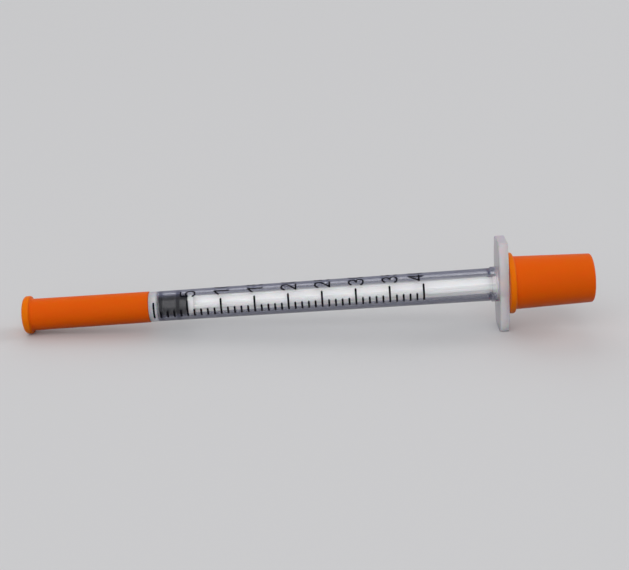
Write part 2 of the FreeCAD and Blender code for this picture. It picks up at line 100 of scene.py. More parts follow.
def rounded(outline):
    """Runs along corners of (station, radius, rounding), of which the first and last are sharp.

    Each rounding is an arc tangent to both sides: its centre is on the corner's bisector, at the
    rounding divided by the sine of half the angle. Straight stretches are divided evenly so that
    no step is longer than LONGEST_STEP, and points that fall together are kept once.
    """
    points = np.array([corner[:2] for corner in outline], float)
    roundings = [corner[2] for corner in outline]
    stops = []
    for i, (here, rounding) in enumerate(zip(points, roundings)):
        if rounding == 0:
            stops.append(here[None])
            continue
        back = points[i - 1] - here
        ahead = points[i + 1] - here
        back, ahead = back / np.linalg.norm(back), ahead / np.linalg.norm(ahead)
        half = math.acos(np.clip(back @ ahead, -1, 1)) / 2
        centre = here + (back + ahead) / np.linalg.norm(back + ahead) * rounding / math.sin(half)
        first = here + back * rounding / math.tan(half) - centre
        last = here + ahead * rounding / math.tan(half) - centre
        sweep = math.pi - 2 * half
        steps = max(LEAST_ROUND_STEPS, round(ROUND_STEPS * sweep / ROUND_STEPS_SWEEP))
        turn = np.linspace(0, sweep, steps)[:, None]
        stops.append(centre + (np.sin(sweep - turn) * first + np.sin(turn) * last) / math.sin(sweep))
    path = stops[:1]
    for stop, following in zip(stops, stops[1:]):
        run = following[0] - stop[-1]
        parts = max(1, math.ceil(np.linalg.norm(run) / LONGEST_STEP))
        path.append(stop[-1] + np.linspace(0, 1, parts + 1)[1:-1, None] * run)
        path.append(following)
    path = np.concatenate(path)
    step = np.linalg.norm(np.diff(path, axis=0), axis=1)
    return path[np.concatenate([[True], step > SAME_POINT])]


def skin(name, rings, loop=False):
    """One closed surface through rings of points (rings x columns x 3). Each ring closes on
    itself. The rings join in a loop, or the first and last shrink to a point on the axis."""
    columns = rings.shape[1]
    ends = [] if loop else [rings[0].mean(0), rings[-1].mean(0)]
    body = rings if loop else rings[1:-1]
    rows = len(body)
    points = np.concatenate([body.reshape(-1, 3)] + [end[None] for end in ends])
    index = np.arange(rows * columns).reshape(rows, columns)
    after = np.roll(index, -1, axis=1)
    low, high = (index, np.roll(index, -1, axis=0)) if loop else (index[:-1], index[1:])
    low_after, high_after = np.roll(low, -1, axis=1), np.roll(high, -1, axis=1)
    quads = np.stack([low, low_after, high_after, high], axis=-1).reshape(-1, 4)
    faces = quads.tolist()
    if not loop:
        first, last = rows * columns, rows * columns + 1
        faces += [[first, b, a] for a, b in zip(index[0].tolist(), after[0].tolist())]
        faces += [[last, a, b] for a, b in zip(index[-1].tolist(), after[-1].tolist())]
    mesh = bpy.data.meshes.new(name)
    mesh.from_pydata(points, [], faces)
    mesh.update()
    shape = bmesh.new()
    shape.from_mesh(mesh)
    if shape.calc_volume(signed=True) < 0:
        bmesh.ops.reverse_faces(shape, faces=shape.faces)
    shape.to_mesh(mesh)
    shape.free()
    mesh.shade_smooth()
    mesh.set_sharp_from_angle(angle=math.radians(SHARP_EDGE))
    piece = bpy.data.objects.new(name, mesh)
    bpy.context.scene.collection.objects.link(piece)
    return piece


def round_rings(path):
    """A ring about the axis for each (station, r) of a path: near = r sin t and up = r cos t."""
    turn = np.linspace(0, 2 * math.pi, TURN_STEPS, endpoint=False)
    return place(path[:, :1], path[:, 1:] * np.sin(turn), path[:, 1:] * np.cos(turn))


def turned(name, outline):
    """A turned piece: every point of the rounded outline becomes a ring about the axis."""
    return skin(name, round_rings(rounded(outline)))


class Wire:
    """A value that runs through a material. Arithmetic on a number adds the Math nodes."""

    def __init__(self, finish, socket):
        self.finish, self.socket = finish, socket

    def math(self, operation, *values):
        return self.finish.node("ShaderNodeMath", {"operation": operation},
                                dict(enumerate(values)))

    def __add__(self, other):
        return self.math("ADD", self, other)

    def __rsub__(self, other):
        return self.math("SUBTRACT", other, self)

    def __mul__(self, other):
        return self.math("MULTIPLY", self, other)

    __radd__, __rmul__ = __add__, __mul__


class Finish:
    """One material: a principled shader with constants, and the nodes that vary it."""

    def __init__(self, name, constants):
        self.material = bpy.data.materials.new(name)
        self.material.use_nodes = True
        self.tree = self.material.node_tree
        self.shader = self.tree.nodes["Principled BSDF"]
        for socket, value in constants.items():
            self.shader.inputs[socket].default_value = value

    def node(self, kind, settings, inputs, output=0):
        """Adds a node: its settings first, then the values or links of its sockets."""
        node = self.tree.nodes.new(kind)
        for key, value in settings.items():
            setattr(node, key, value)
        for socket, value in inputs.items():
            self.feed(node.inputs[socket], value)
        return Wire(self, node.outputs[output])

    def feed(self, socket, value):
        """Links a wire to a socket, or sets the socket to a value."""
        if isinstance(value, Wire):
            self.tree.links.new(value.socket, socket)
        else:
            socket.default_value = value

    def here(self):
        """The point's own coordinates on the object, in metres."""
        return self.node("ShaderNodeTexCoord", {}, {}, "Object")

    def noise(self, scale, detail, stretch=(1, 1, 1)):
        """Even noise of so many cells a metre, from 0 to 1, drawn out along the axes."""
        coarse = self.node("ShaderNodeMapping", {}, {"Vector": self.here(), "Scale": stretch})
        return self.node("ShaderNodeTexNoise", {},
                         {"Vector": coarse, "Scale": scale, "Detail": detail}, "Fac")

    def station(self):
        """The point's station along the syringe's axis, in millimetres."""
        offset = self.node("ShaderNodeVectorMath", {"operation": "SUBTRACT"},
                           {0: self.here(), 1: tuple(CLOSED_END)}, "Vector")
        along = self.node("ShaderNodeVectorMath", {"operation": "DOT_PRODUCT"},
                          {0: offset, 1: tuple(ALONG)}, "Value")
        return along * (1 / MM)

    def ramp(self, value, first, last, low, high):
        """Smooth step of a value: low up to first, high from last on."""
        return self.node("ShaderNodeMapRange", {"interpolation_type": "SMOOTHSTEP"}, {
            "Value": value, "From Min": first, "From Max": last,
            "To Min": low, "To Max": high}, "Result")

    def blend(self, share, first, second):
        """A colour between two, by a share from 0 to 1."""
        return self.node("ShaderNodeMix", {"data_type": "RGBA"},
                         {"Factor": share, 6: first, 7: second}, 2)

    def wears(self, **sockets):
        """Feeds the shader's sockets, each named with _ for a space."""
        for name, value in sockets.items():
            self.feed(self.shader.inputs[name.replace("_", " ")], value)

    def bumps(self, height, depth):
        """Raises the surface by height x depth, depth in metres."""
        bump = self.node("ShaderNodeBump", {}, {"Height": height, "Distance": depth,
                                                "Strength": 1.0}, "Normal")
        self.feed(self.shader.inputs["Normal"], bump)


def finished(piece, node, body, finish):
    """Puts a finish on a piece that stands for a node, and fixes it to its body."""
    piece.data.materials.clear()
    piece.data.materials.append(finish.material)
    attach(piece, body)
    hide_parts(node)


ORANGE = (0.95, 0.142, 0.0, 1)
ORANGE_DEEP = (0.87, 0.108, 0.0, 1)
# Paler orange of the lip: a painted highlight on the same plastic, not a different colour.
ORANGE_PAINTED_LIP_HIGHLIGHT = (0.98, 0.205, 0.0, 1)
ORANGE_GRAIN = 0.000012
LIP_HIGHLIGHT_FADE = 0.3


def orange_plastic(name, first, last):
    """Orange polypropylene with slow streaks of flow and a fine grain. Between two stations, at
    the thick rolled lip, it is painted paler: a painted highlight where the lip catches the light."""
    finish = Finish(name, {"IOR": 1.45, "Specular IOR Level": 0.16, "Subsurface Weight": 0.45,
                           "Subsurface Scale": 0.0020, "Subsurface Radius": (1.0, 0.12, 0.008)})
    flow = finish.noise(120, 2, (0.35, 1, 1))
    grain = finish.noise(9000, 2)
    station = finish.station()
    # This mask paints the paler orange on the lip: a painted highlight, not a change of plastic.
    lip = (finish.ramp(station, first - LIP_HIGHLIGHT_FADE, first + LIP_HIGHLIGHT_FADE, 0, 1)
           * finish.ramp(station, last - LIP_HIGHLIGHT_FADE, last + LIP_HIGHLIGHT_FADE, 1, 0))
    body = finish.blend(flow, ORANGE_DEEP, ORANGE)
    finish.wears(Base_Color=finish.blend(lip, body, ORANGE_PAINTED_LIP_HIGHLIGHT), Roughness=0.36 + 0.12 * grain)
    finish.bumps(grain, ORANGE_GRAIN)
    return finish


start, mouth = span("needle_shield")
shield = turned("needle_shield_shell", [
    (start + DISH_DEPTH, 0, 0),
    (start + DISH_DEPTH, SHIELD_DISH_RADIUS - DISH_SLOPE, DISH_FLOOR_ROUND),
    (start, SHIELD_DISH_RADIUS, DISH_RIM_ROUND),
    (start, SHIELD_LIP_RADIUS, SHIELD_LIP_END_ROUND),
    (start + SHIELD_LIP_WIDTH, SHIELD_LIP_RADIUS, SHIELD_LIP_BACK_ROUND),
    (start + SHIELD_LIP_WIDTH, SHIELD_END_RADIUS, SHIELD_LIP_ROOT_ROUND),
    (mouth, SHIELD_MOUTH_RADIUS, SHIELD_MOUTH_ROUND),
    (mouth, SHIELD_MOUTH_BORE, SHIELD_MOUTH_ROUND),
    (mouth - SHIELD_GRIP, SHIELD_MOUTH_BORE, 0),
    (start + SHIELD_END_WALL, SHIELD_END_BORE, SHIELD_BOTTOM_ROUND),
    (start + SHIELD_END_WALL, 0, 0),
])
finished(shield, "needle_shield", "needle_shield",
         orange_plastic("shield_orange", start, start + SHIELD_LIP_WIDTH))


# Plunger cap: a short wide cup of the same orange plastic with a lip at its mouth. It pushes
# over the ring behind the finger flange and hides the thumb disc.
CAP_MOUTH_RADIUS = 5.45
CAP_END_RADIUS = 4.97
CAP_LIP_RADIUS = 6.248
CAP_LIP_WIDTH = 1.25
CAP_LIP_FACE_ROUND = 0.35
CAP_LIP_BACK_ROUND = 0.45
CAP_LIP_ROOT_ROUND = 0.34
CAP_MOUTH_BORE = 4.25
CAP_MOUTH_ROUND = 0.12
CAP_END_BORE = 4.17
CAP_END_WALL = 1.0
CAP_END_ROUND = 0.45
CAP_BOTTOM_ROUND = 0.3

mouth, end = span("plunger_cap")
cap = turned("plunger_cap_shell", [
    (end - CAP_END_WALL, 0, 0),
    (end - CAP_END_WALL, CAP_END_BORE, CAP_BOTTOM_ROUND),
    (mouth, CAP_MOUTH_BORE, CAP_MOUTH_ROUND),
    (mouth, CAP_LIP_RADIUS, CAP_LIP_FACE_ROUND),
    (mouth + CAP_LIP_WIDTH, CAP_LIP_RADIUS, CAP_LIP_BACK_ROUND),
    (mouth + CAP_LIP_WIDTH, CAP_MOUTH_RADIUS, CAP_LIP_ROOT_ROUND),
    (end, CAP_END_RADIUS, CAP_END_ROUND),
    (end, 0, 0),
])
finished(cap, "plunger_cap", "plunger_cap",
         orange_plastic("cap_orange", mouth, mouth + CAP_LIP_WIDTH))


# Barrel: one clear moulding of nose, tube, finger flange and the ring that carries the cap.
# Six fins stiffen the nose, the flange is a bowed plate with flat ends.
NOSE_LENGTH = 8.5
NOSE_TIP_RADIUS = 0.85
NOSE_TIP_ROUND = 0.15
NOSE_BASE_RADIUS = 1.5
COLLAR_RADIUS = 2.35
COLLAR_LENGTH = 2.2
COLLAR_CHAMFER = 0.3
COLLAR_ROUND = 0.1
FINS = 6
FIN_HALF = 0.275
FIN_TOP = 2.2
FIN_TIP = 1.15
FIN_SETBACK = 1.5
FIN_START_GAP = 0.05
FIN_END_SHARE = 0.4
COLLAR_START_SHARE = 0.55
BORE_RADIUS = 2.4
BORE_END_ROUND = 0.15
TUBE_RADIUS = 3.09
TUBE_REAR_RADIUS = 3.37
SHOULDER_ROUND = 0.12
ROOT_HEIGHT = 0.22
ROOT_LENGTH = 1.2
ROOT_FOOT_ROUND = 0.1
ROOT_TOP_ROUND = 0.12
FLANGE_THICKNESS = 2.0
FLANGE_HALF_HEIGHT = 9.545
FLANGE_HALF_END = 2.9
FLANGE_HALF_MIDDLE = 4.4
FLANGE_CORNER = 0.8
FLANGE_EDGE = 0.22
SEAT_RADIUS = 4.2
SEAT_LENGTH = 3.2
SEAT_ROUND = 0.35
FRONT_WALL = 1.55
CHANNEL_RADIUS = 0.3
CHANNEL_LENGTH = 2.6
NEEDLE_HOLE = 0.175
WELL_RADIUS = 0.55
WELL_DEPTH = 1.1
BEAD_HEIGHT = 0.28
BEAD_LENGTH = 1.6
BEAD_SETBACK = 0.35
BEAD_FOOT_ROUND = 0.2
BEAD_TOP_ROUND = 0.6
MOUTH_FLARE = 0.6
MOUTH_ROUND = 0.2
RING_GAP = 0.02
END_STEPS, CORNER_STEPS, SIDE_STEPS = 6, 8, 56
FIN_TOP_STEPS, FIN_FLANK_STEPS, FIN_LEVELS = 8, 4, 8
FACE_SHARES = (0.03, 0.25, 0.5, 0.75, 0.97)


def flange_outline():
    """Points and outward normals of the flange's outline, as (near, up), from the middle of the
    upper facet round by the near side.

    One quarter is a flat facet, a corner arc and half of a wide side arc. The side arc's radius
    is (bow^2 + half height^2) / (2 bow), and the corner arc's centre lies a corner radius below
    the facet and a corner radius inside the side arc. The side is stepped by the angle p seen
    from the axis, where it lies middle x cos p + the root of radius^2 - (middle x sin p)^2 away.
    """
    bow = FLANGE_HALF_MIDDLE - FLANGE_HALF_END
    radius = (bow ** 2 + FLANGE_HALF_HEIGHT ** 2) / (2 * bow)
    middle = FLANGE_HALF_MIDDLE - radius
    corner_up = FLANGE_HALF_HEIGHT - FLANGE_CORNER
    corner_near = middle + math.sqrt((radius - FLANGE_CORNER) ** 2 - corner_up ** 2)
    side_angle = math.atan2(corner_up, corner_near - middle)
    facet = np.linspace(0, corner_near, END_STEPS, endpoint=False)
    arc = np.linspace(math.pi / 2, side_angle, CORNER_STEPS, endpoint=False)
    top_polar = math.atan2(corner_up + FLANGE_CORNER * math.sin(side_angle),
                           corner_near + FLANGE_CORNER * math.cos(side_angle))
    polar = np.linspace(top_polar, 0, SIDE_STEPS // 2, endpoint=False)
    reach = middle * np.cos(polar) + np.sqrt(radius ** 2 - (middle * np.sin(polar)) ** 2)
    side = np.stack([reach * np.cos(polar), reach * np.sin(polar)], 1)
    side_normal = (side - [middle, 0]) / radius
    arc_normal = np.stack([np.cos(arc), np.sin(arc)], 1)
    quarter = np.concatenate([
        np.stack([facet, np.full(END_STEPS, FLANGE_HALF_HEIGHT)], 1),
        [corner_near, corner_up] + FLANGE_CORNER * arc_normal,
        side,
    ])
    normal = np.concatenate([np.tile([0.0, 1.0], (END_STEPS, 1)), arc_normal, side_normal])
    middle_point, middle_normal = np.array([[FLANGE_HALF_MIDDLE, 0.0]]), np.array([[1.0, 0.0]])

    def whole(part, middle_row):
        below = part[1:][::-1] * [1, -1]
        half = np.concatenate([part, middle_row, below])
        bottom = part[:1] * [1, -1]
        return np.concatenate([half, bottom, half[1:][::-1] * [-1, 1]])

    return whole(quarter, middle_point), whole(normal, middle_normal)


outline, outline_normal = flange_outline()
COLUMNS = len(outline)
POLAR = np.arctan2(outline[:, 0], outline[:, 1])
CIRCLE = np.stack([np.sin(POLAR), np.cos(POLAR)], 1)


def repeated(part, times):
    """A part of a ring as (near, up), copied so many times round the axis. A turn by an angle a
    takes near to near cos a + up sin a, and up to up cos a - near sin a."""
    turns = np.arange(times) * (2 * math.pi / times)
    cosine, sine = np.cos(turns)[:, None], np.sin(turns)[:, None]
    near = cosine * part[:, 0] + sine * part[:, 1]
    up = -sine * part[:, 0] + cosine * part[:, 1]
    return np.stack([near.ravel(), up.ravel()], 1)


def finned(post, fin):
    """One ring of the nose: an arc of the post between fins, a fin's flank, its top, its flank.
    A flank lies FIN_HALF beside the fin's middle plane, so it meets a circle of radius r at the
    angle whose sine is FIN_HALF / r."""
    foot, brow = math.asin(FIN_HALF / post), math.asin(FIN_HALF / fin)
    pitch = 2 * math.pi / FINS
    valley_steps = COLUMNS // FINS - FIN_TOP_STEPS - 2 * FIN_FLANK_STEPS
    t = np.linspace(0, brow, FIN_TOP_STEPS // 2, endpoint=False)
    half_top = np.stack([fin * np.sin(t), fin * np.cos(t)], 1)
    height = np.linspace(fin * math.cos(brow), post * math.cos(foot), FIN_FLANK_STEPS,
                         endpoint=False)
    flank = np.stack([np.full(FIN_FLANK_STEPS, FIN_HALF), height], 1)
    t = np.linspace(foot, pitch / 2, valley_steps // 2, endpoint=False)
    half_valley = np.stack([post * np.sin(t), post * np.cos(t)], 1)
    half = np.concatenate([half_top, flank, half_valley])
    lowest = [[post * math.sin(pitch / 2), post * math.cos(pitch / 2)]]
    mirrored = half[1:][::-1] * [-1, 1]
    cosine, sine = math.cos(pitch), math.sin(pitch)
    over = mirrored @ np.array([[cosine, -sine], [sine, cosine]])
    return repeated(np.concatenate([half, lowest, over]), FINS)


def level(station, ring):
    """One ring of (near, up), set at a station."""
    return place(station, ring[:, 0], ring[:, 1])[None]


def circles(path):
    """Circular rings for each (station, radius) of a path, on the flange's columns."""
    return place(path[:, :1], path[:, 1:] * CIRCLE[:, 0], path[:, 1:] * CIRCLE[:, 1])


tip, seat_end = span("barrel")
shoulder = tip + NOSE_LENGTH
collar_front = shoulder - COLLAR_LENGTH
flange_rear = seat_end - SEAT_LENGTH
flange_front = flange_rear - FLANGE_THICKNESS
root_front = flange_front - ROOT_LENGTH
root_radius = TUBE_REAR_RADIUS + ROOT_HEIGHT
bore_front = shoulder + FRONT_WALL
bead_rear = flange_front - BEAD_SETBACK


def post_radius(station):
    """Radius of the nose between its fins: a cone, then the chamfer of the collar."""
    return np.interp(station, [tip, collar_front - COLLAR_CHAMFER, collar_front],
                     [NOSE_TIP_RADIUS, NOSE_BASE_RADIUS, COLLAR_RADIUS - COLLAR_CHAMFER])


def fin_radius(station):
    """Reach of the fins, which grows evenly from the tip to the collar."""
    return np.interp(station, [tip + FIN_SETBACK, collar_front - COLLAR_CHAMFER],
                     [FIN_TIP, FIN_TOP])


def flange_ring(station, inset):
    """The flange's outline moved inwards by inset along its own normals."""
    return level(station, outline - inset * outline_normal)


def flange_face_ring(share):
    """A ring of the flange's front face, part of the way from its root to its rounded edge."""
    edge = outline - FLANGE_EDGE * outline_normal
    return level(flange_front, (1 - share) * root_radius * CIRCLE + share * edge)


# The skin runs from the glue well over the tip, back along the fins, the tube and the flange,
# and returns through the bore, the channel and the needle's hole.
tip_path = rounded([
    (tip, WELL_RADIUS, 0),
    (tip, NOSE_TIP_RADIUS, NOSE_TIP_ROUND),
    (tip + FIN_SETBACK - FIN_START_GAP, post_radius(tip + FIN_SETBACK), 0),
])
fin_stations = np.append(
    np.linspace(tip + FIN_SETBACK, collar_front - COLLAR_CHAMFER, FIN_LEVELS),
    [collar_front, collar_front + COLLAR_CHAMFER * FIN_END_SHARE])
fins = [level(s, finned(post_radius(s), fin_radius(s))) for s in fin_stations]
tube_path = rounded([
    (collar_front + COLLAR_CHAMFER * COLLAR_START_SHARE,
     COLLAR_RADIUS - COLLAR_CHAMFER * (1 - COLLAR_START_SHARE), 0),
    (collar_front + COLLAR_CHAMFER, COLLAR_RADIUS, COLLAR_ROUND),
    (shoulder, COLLAR_RADIUS, COLLAR_ROUND),
    (shoulder, TUBE_RADIUS, SHOULDER_ROUND),
    (root_front - ROOT_HEIGHT, TUBE_REAR_RADIUS, ROOT_FOOT_ROUND),
    (root_front, root_radius, ROOT_TOP_ROUND),
    (flange_front, root_radius, 0),
])
edge_turn = np.linspace(0, math.pi / 2, ROUND_STEPS)
flange = ([flange_face_ring(share) for share in FACE_SHARES]
          + [flange_ring(flange_front + FLANGE_EDGE * (1 - math.cos(a)),
                         FLANGE_EDGE * (1 - math.sin(a))) for a in edge_turn]
          + [flange_ring(flange_rear - FLANGE_EDGE * (1 - math.cos(a)),
                         FLANGE_EDGE * (1 - math.sin(a))) for a in edge_turn[::-1]])
bore_path = rounded([
    (flange_rear + RING_GAP, SEAT_RADIUS, 0),
    (seat_end, SEAT_RADIUS, SEAT_ROUND),
    (seat_end, BORE_RADIUS + MOUTH_FLARE, MOUTH_ROUND),
    (flange_rear, BORE_RADIUS, 0),
    (bead_rear, BORE_RADIUS, BEAD_FOOT_ROUND),
    (bead_rear - BEAD_LENGTH / 2, BORE_RADIUS - BEAD_HEIGHT, BEAD_TOP_ROUND),
    (bead_rear - BEAD_LENGTH, BORE_RADIUS, BEAD_FOOT_ROUND),
    (bore_front, BORE_RADIUS, BORE_END_ROUND),
    (bore_front, CHANNEL_RADIUS, 0),
    (bore_front - CHANNEL_LENGTH, CHANNEL_RADIUS, 0),
    (bore_front - CHANNEL_LENGTH, NEEDLE_HOLE, 0),
    (tip + WELL_DEPTH, NEEDLE_HOLE, 0),
    (tip + RING_GAP, WELL_RADIUS, 0),
])
barrel = skin("barrel_moulding", np.concatenate(
    [circles(tip_path)] + fins + [circles(tube_path)] + flange + [circles(bore_path)]), loop=True)

# The plastic is milky where it is thick, at the flange and in the nose. The thin tube is clear and
# lets the light through to what lies behind. Where it slants away it is a little hazy, and there a
# dark grey-blue is painted in: painted shade that darkens the tube's upper and lower edges.
FLANGE_MILKY_FROM = root_front + 0.3
FLANGE_MILKY_BY = FLANGE_MILKY_FROM + 1.3
FLANGE_MILKY = 0.58
NOSE_CLEARS_FROM = bore_front - 0.2
NOSE_CLEARS_BY = bore_front + 0.5
NOSE_MILKY = 0.5
CLEAR_TINT = (0.985, 0.988, 0.995, 1)
# Dark grey-blue for where the tube slants away: painted shade at its edges, over a little real haziness.
HAZE_AND_PAINTED_SHADE_TINT = (0.13, 0.137, 0.225, 1)
MILKY_TINT = (0.97, 0.88, 0.91, 1)
THROUGH_TINT = (0.985, 0.985, 0.99, 1)
SLANT_FIRST, SLANT_LAST = 0.13, 0.36
LEAST_HAZE_AND_SHADE, MOST_HAZE_AND_SHADE = 0.02, 0.62
WALL_WAVES = 0.000010
clear = Finish("clear_plastic", {"IOR": 1.49, "Transmission Weight": 1.0, "Base Color": CLEAR_TINT})
clear.wears(Roughness=0.035 + 0.05 * clear.noise(2500, 2, (0.2, 1, 1)))
clear.bumps(clear.noise(160, 1, (0.12, 1, 1)), WALL_WAVES)
# Mixed in by how far the wall slants from view: painted shade that darkens the tube's edges.
haze_and_painted_shade = clear.node("ShaderNodeBsdfPrincipled", {}, {
    "Base Color": HAZE_AND_PAINTED_SHADE_TINT, "Roughness": 0.3, "IOR": 1.49}, "BSDF")
milky = clear.node("ShaderNodeBsdfPrincipled", {}, {
    "Base Color": MILKY_TINT, "Roughness": 0.3, "IOR": 1.49,
    "Subsurface Weight": 0.6, "Subsurface Scale": 0.002}, "BSDF")
slant = clear.node("ShaderNodeLayerWeight", {}, {"Blend": 0.5}, "Facing")
milkiness = (
    clear.ramp(clear.station(), FLANGE_MILKY_FROM, FLANGE_MILKY_BY, 0.0, FLANGE_MILKY)
    + clear.ramp(clear.station(), NOSE_CLEARS_FROM, NOSE_CLEARS_BY, NOSE_MILKY, 0.0))
tube_shader = clear.node("ShaderNodeMixShader", {}, {
    0: clear.ramp(slant, SLANT_FIRST, SLANT_LAST, LEAST_HAZE_AND_SHADE, MOST_HAZE_AND_SHADE),
    1: Wire(clear, clear.shader.outputs["BSDF"]), 2: haze_and_painted_shade}, "Shader")
body_shader = clear.node("ShaderNodeMixShader", {}, {
    0: milkiness, 1: tube_shader, 2: milky}, "Shader")
clear_way = clear.node("ShaderNodeBsdfTransparent", {}, {"Color": THROUGH_TINT}, "BSDF")
shadow = clear.node("ShaderNodeLightPath", {}, {}, "Is Shadow Ray")
clear.feed(clear.tree.nodes["Material Output"].inputs["Surface"], clear.node(
    "ShaderNodeMixShader", {}, {0: shadow * (1 - milkiness), 1: body_shader, 2: clear_way},
    "Shader"))
finished(barrel, "barrel", "barrel", clear)


# Printed scale: black ink on the barrel, 40 units of 1.38 mm. Every fifth mark is long and has
# its number, which stands across the barrel and reads upwards over its top.
ZERO_STATION = shoulder + 1.10
UNIT = 1.38
UNITS = 40
NUMBER_EVERY = 5
MARK_HALF = 0.205
MARK_FOOT = 6.60
LONG_HEAD = 2.98
SHORT_HEAD = 4.86
INK_LIFT = 0.012
NUMBER_HEIGHT = 2.95
NUMBER_FOOT = 2.23
NUMBER_SHIFT = 0.15
LAST_NUMBER_SHIFT = -1.4
FIGURE_PACE = 0.76
INK_HALF = 0.18
MARK_POINTS, LINE_STEPS, BOW_POINTS, STROKE_END_STEPS = 20, 8, 25, 5
THINNEST_END = 0.02


def tube_radius(station):
    """Outer radius of the tube, which grows evenly from the shoulder to the flange's root."""
    return np.interp(station, [shoulder, root_front - ROOT_HEIGHT],
                     [TUBE_RADIUS, TUBE_REAR_RADIUS])


def printed(station, angle):
    """Points of the ink: radius of the tube there plus the ink, at an angle from the top."""
    reach = tube_radius(station) + INK_LIFT
    return place(station, reach * np.sin(angle), reach * np.cos(angle))


def stroke(path, half):
    """A flat inked line of width 2 x half along a path of (around, along) points in millimetres.

    Its two edges lie half on either side of the path along the path's normal. Both ends are
    round: beyond an end, at the distance half x sin t, the width shrinks to half x cos t.
    """
    way = np.gradient(path, axis=0)
    way /= np.linalg.norm(way, axis=1)[:, None]
    t = np.linspace(0, math.pi / 2, STROKE_END_STEPS + 1)[1:, None]
    taper = half * np.maximum(np.cos(t), THINNEST_END)
    middle = np.concatenate([path[0] - way[0] * half * np.sin(t[::-1]), path,
                             path[-1] + way[-1] * half * np.sin(t)])
    ways = np.concatenate([np.tile(way[0], (STROKE_END_STEPS, 1)), way,
                           np.tile(way[-1], (STROKE_END_STEPS, 1))])
    widths = np.concatenate([taper[::-1], np.full((len(path), 1), half), taper])
    normal = ways[:, ::-1] * [1, -1]
    return np.stack([middle - normal * widths, middle + normal * widths], 1)


def line(*corners):
    """Straight runs from corner to corner, in steps."""
    corners = np.array(corners, float)
    shares = np.linspace(0, 1, LINE_STEPS, endpoint=False)[:, None]
    runs = [first + shares * (second - first) for first, second in zip(corners, corners[1:])]
    return np.concatenate(runs + [corners[-1:]])


def bow(x, y, wide, high, first, last):
    """Part of an ellipse about (x, y), from one angle to another, in degrees."""
    t = np.radians(np.linspace(first, last, BOW_POINTS))
    return np.stack([x + wide * np.cos(t), y + high * np.sin(t)], 1)


# Each figure is drawn as pen strokes in a cell one high, x across and y up.
FIGURES = {
    "0": [bow(0.26, 0.5, 0.26, 0.5, 0, 360)],
    "1": [line((0.04, 0.70), (0.34, 1)), line((0.34, 1), (0.34, 0))],
    "2": [np.concatenate([bow(0.25, 0.72, 0.24, 0.28, 165, -35), line((0.40, 0.50), (0, 0))]),
          line((0, 0), (0.50, 0))],
    "3": [bow(0.25, 0.745, 0.22, 0.255, 155, -90), bow(0.25, 0.245, 0.27, 0.245, 90, -160)],
    "4": [line((0.40, 0), (0.40, 1)), line((0.40, 1), (0, 0.30)), line((0, 0.30), (0.54, 0.30))],
    "5": [line((0.46, 1), (0.08, 1)), line((0.08, 1), (0.04, 0.54)),
          bow(0.25, 0.32, 0.26, 0.32, 140, -150)],
}

strips = []
for unit in range(UNITS + 1):
    station = ZERO_STATION + unit * UNIT
    long_mark = unit % NUMBER_EVERY == 0
    head = LONG_HEAD if long_mark else SHORT_HEAD
    around = np.linspace(head + MARK_HALF, MARK_FOOT - MARK_HALF, MARK_POINTS)
    strips.append(stroke(np.stack([around, np.full(MARK_POINTS, station)], 1), MARK_HALF))
    if long_mark and unit:
        middle = station + (LAST_NUMBER_SHIFT if unit == UNITS else NUMBER_SHIFT)
        for digit, figure in enumerate(str(unit)):
            for path in FIGURES[figure]:
                across = NUMBER_FOOT - NUMBER_HEIGHT * (path[:, 0] + FIGURE_PACE * digit)
                along = middle - NUMBER_HEIGHT * (path[:, 1] - 0.5)
                strips.append(stroke(np.stack([across, along], 1), INK_HALF))
points, faces, laid = [], [], 0
for strip in strips:
    stations = strip[..., 1].reshape(-1)
    points.append(printed(stations, strip[..., 0].reshape(-1) / tube_radius(stations)))
    index = laid + np.arange(len(strip) * 2).reshape(-1, 2)
    faces.append(np.stack([index[:-1, 0], index[:-1, 1], index[1:, 1], index[1:, 0]], 1))
    laid += len(strip) * 2
mesh = bpy.data.meshes.new("printed_scale")
mesh.from_pydata(np.concatenate(points), [], np.concatenate(faces).tolist())
mesh.update()
scale = bpy.data.objects.new("printed_scale", mesh)
bpy.context.scene.collection.objects.link(scale)
ink = Finish("scale_ink", {"IOR": 1.45, "Specular IOR Level": 0.06})
cover = ink.noise(4000, 3)
ink.wears(Base_Color=ink.blend(cover, (0.003, 0.003, 0.005, 1), (0.012, 0.011, 0.015, 1)),
          Roughness=0.42 + 0.15 * cover)
mesh.materials.append(ink.material)
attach(scale, "barrel")


# Gasket: a dark rubber stopper with a blunt cone in front and two sealing ribs, pressed over
# the barb of the plunger rod.
GASKET_RADIUS = 2.405
GASKET_WAIST = 2.20
GASKET_CONE = 0.45
SEAL_WIDTH = 0.8
SEAL_SLOPE = 0.25
REAR_SEAL = 4.0
FRONT_SEAL_ROUND = 0.18
SEAL_ROUND = 0.15
WAIST_ROUND = 0.12
BARB_GAP = 0.03
BARB_RADIUS = 1.35
BARB_NOSE = 0.6
BARB_LENGTH = 1.5
NECK_RADIUS = 0.85
NECK_LENGTH = 1.6

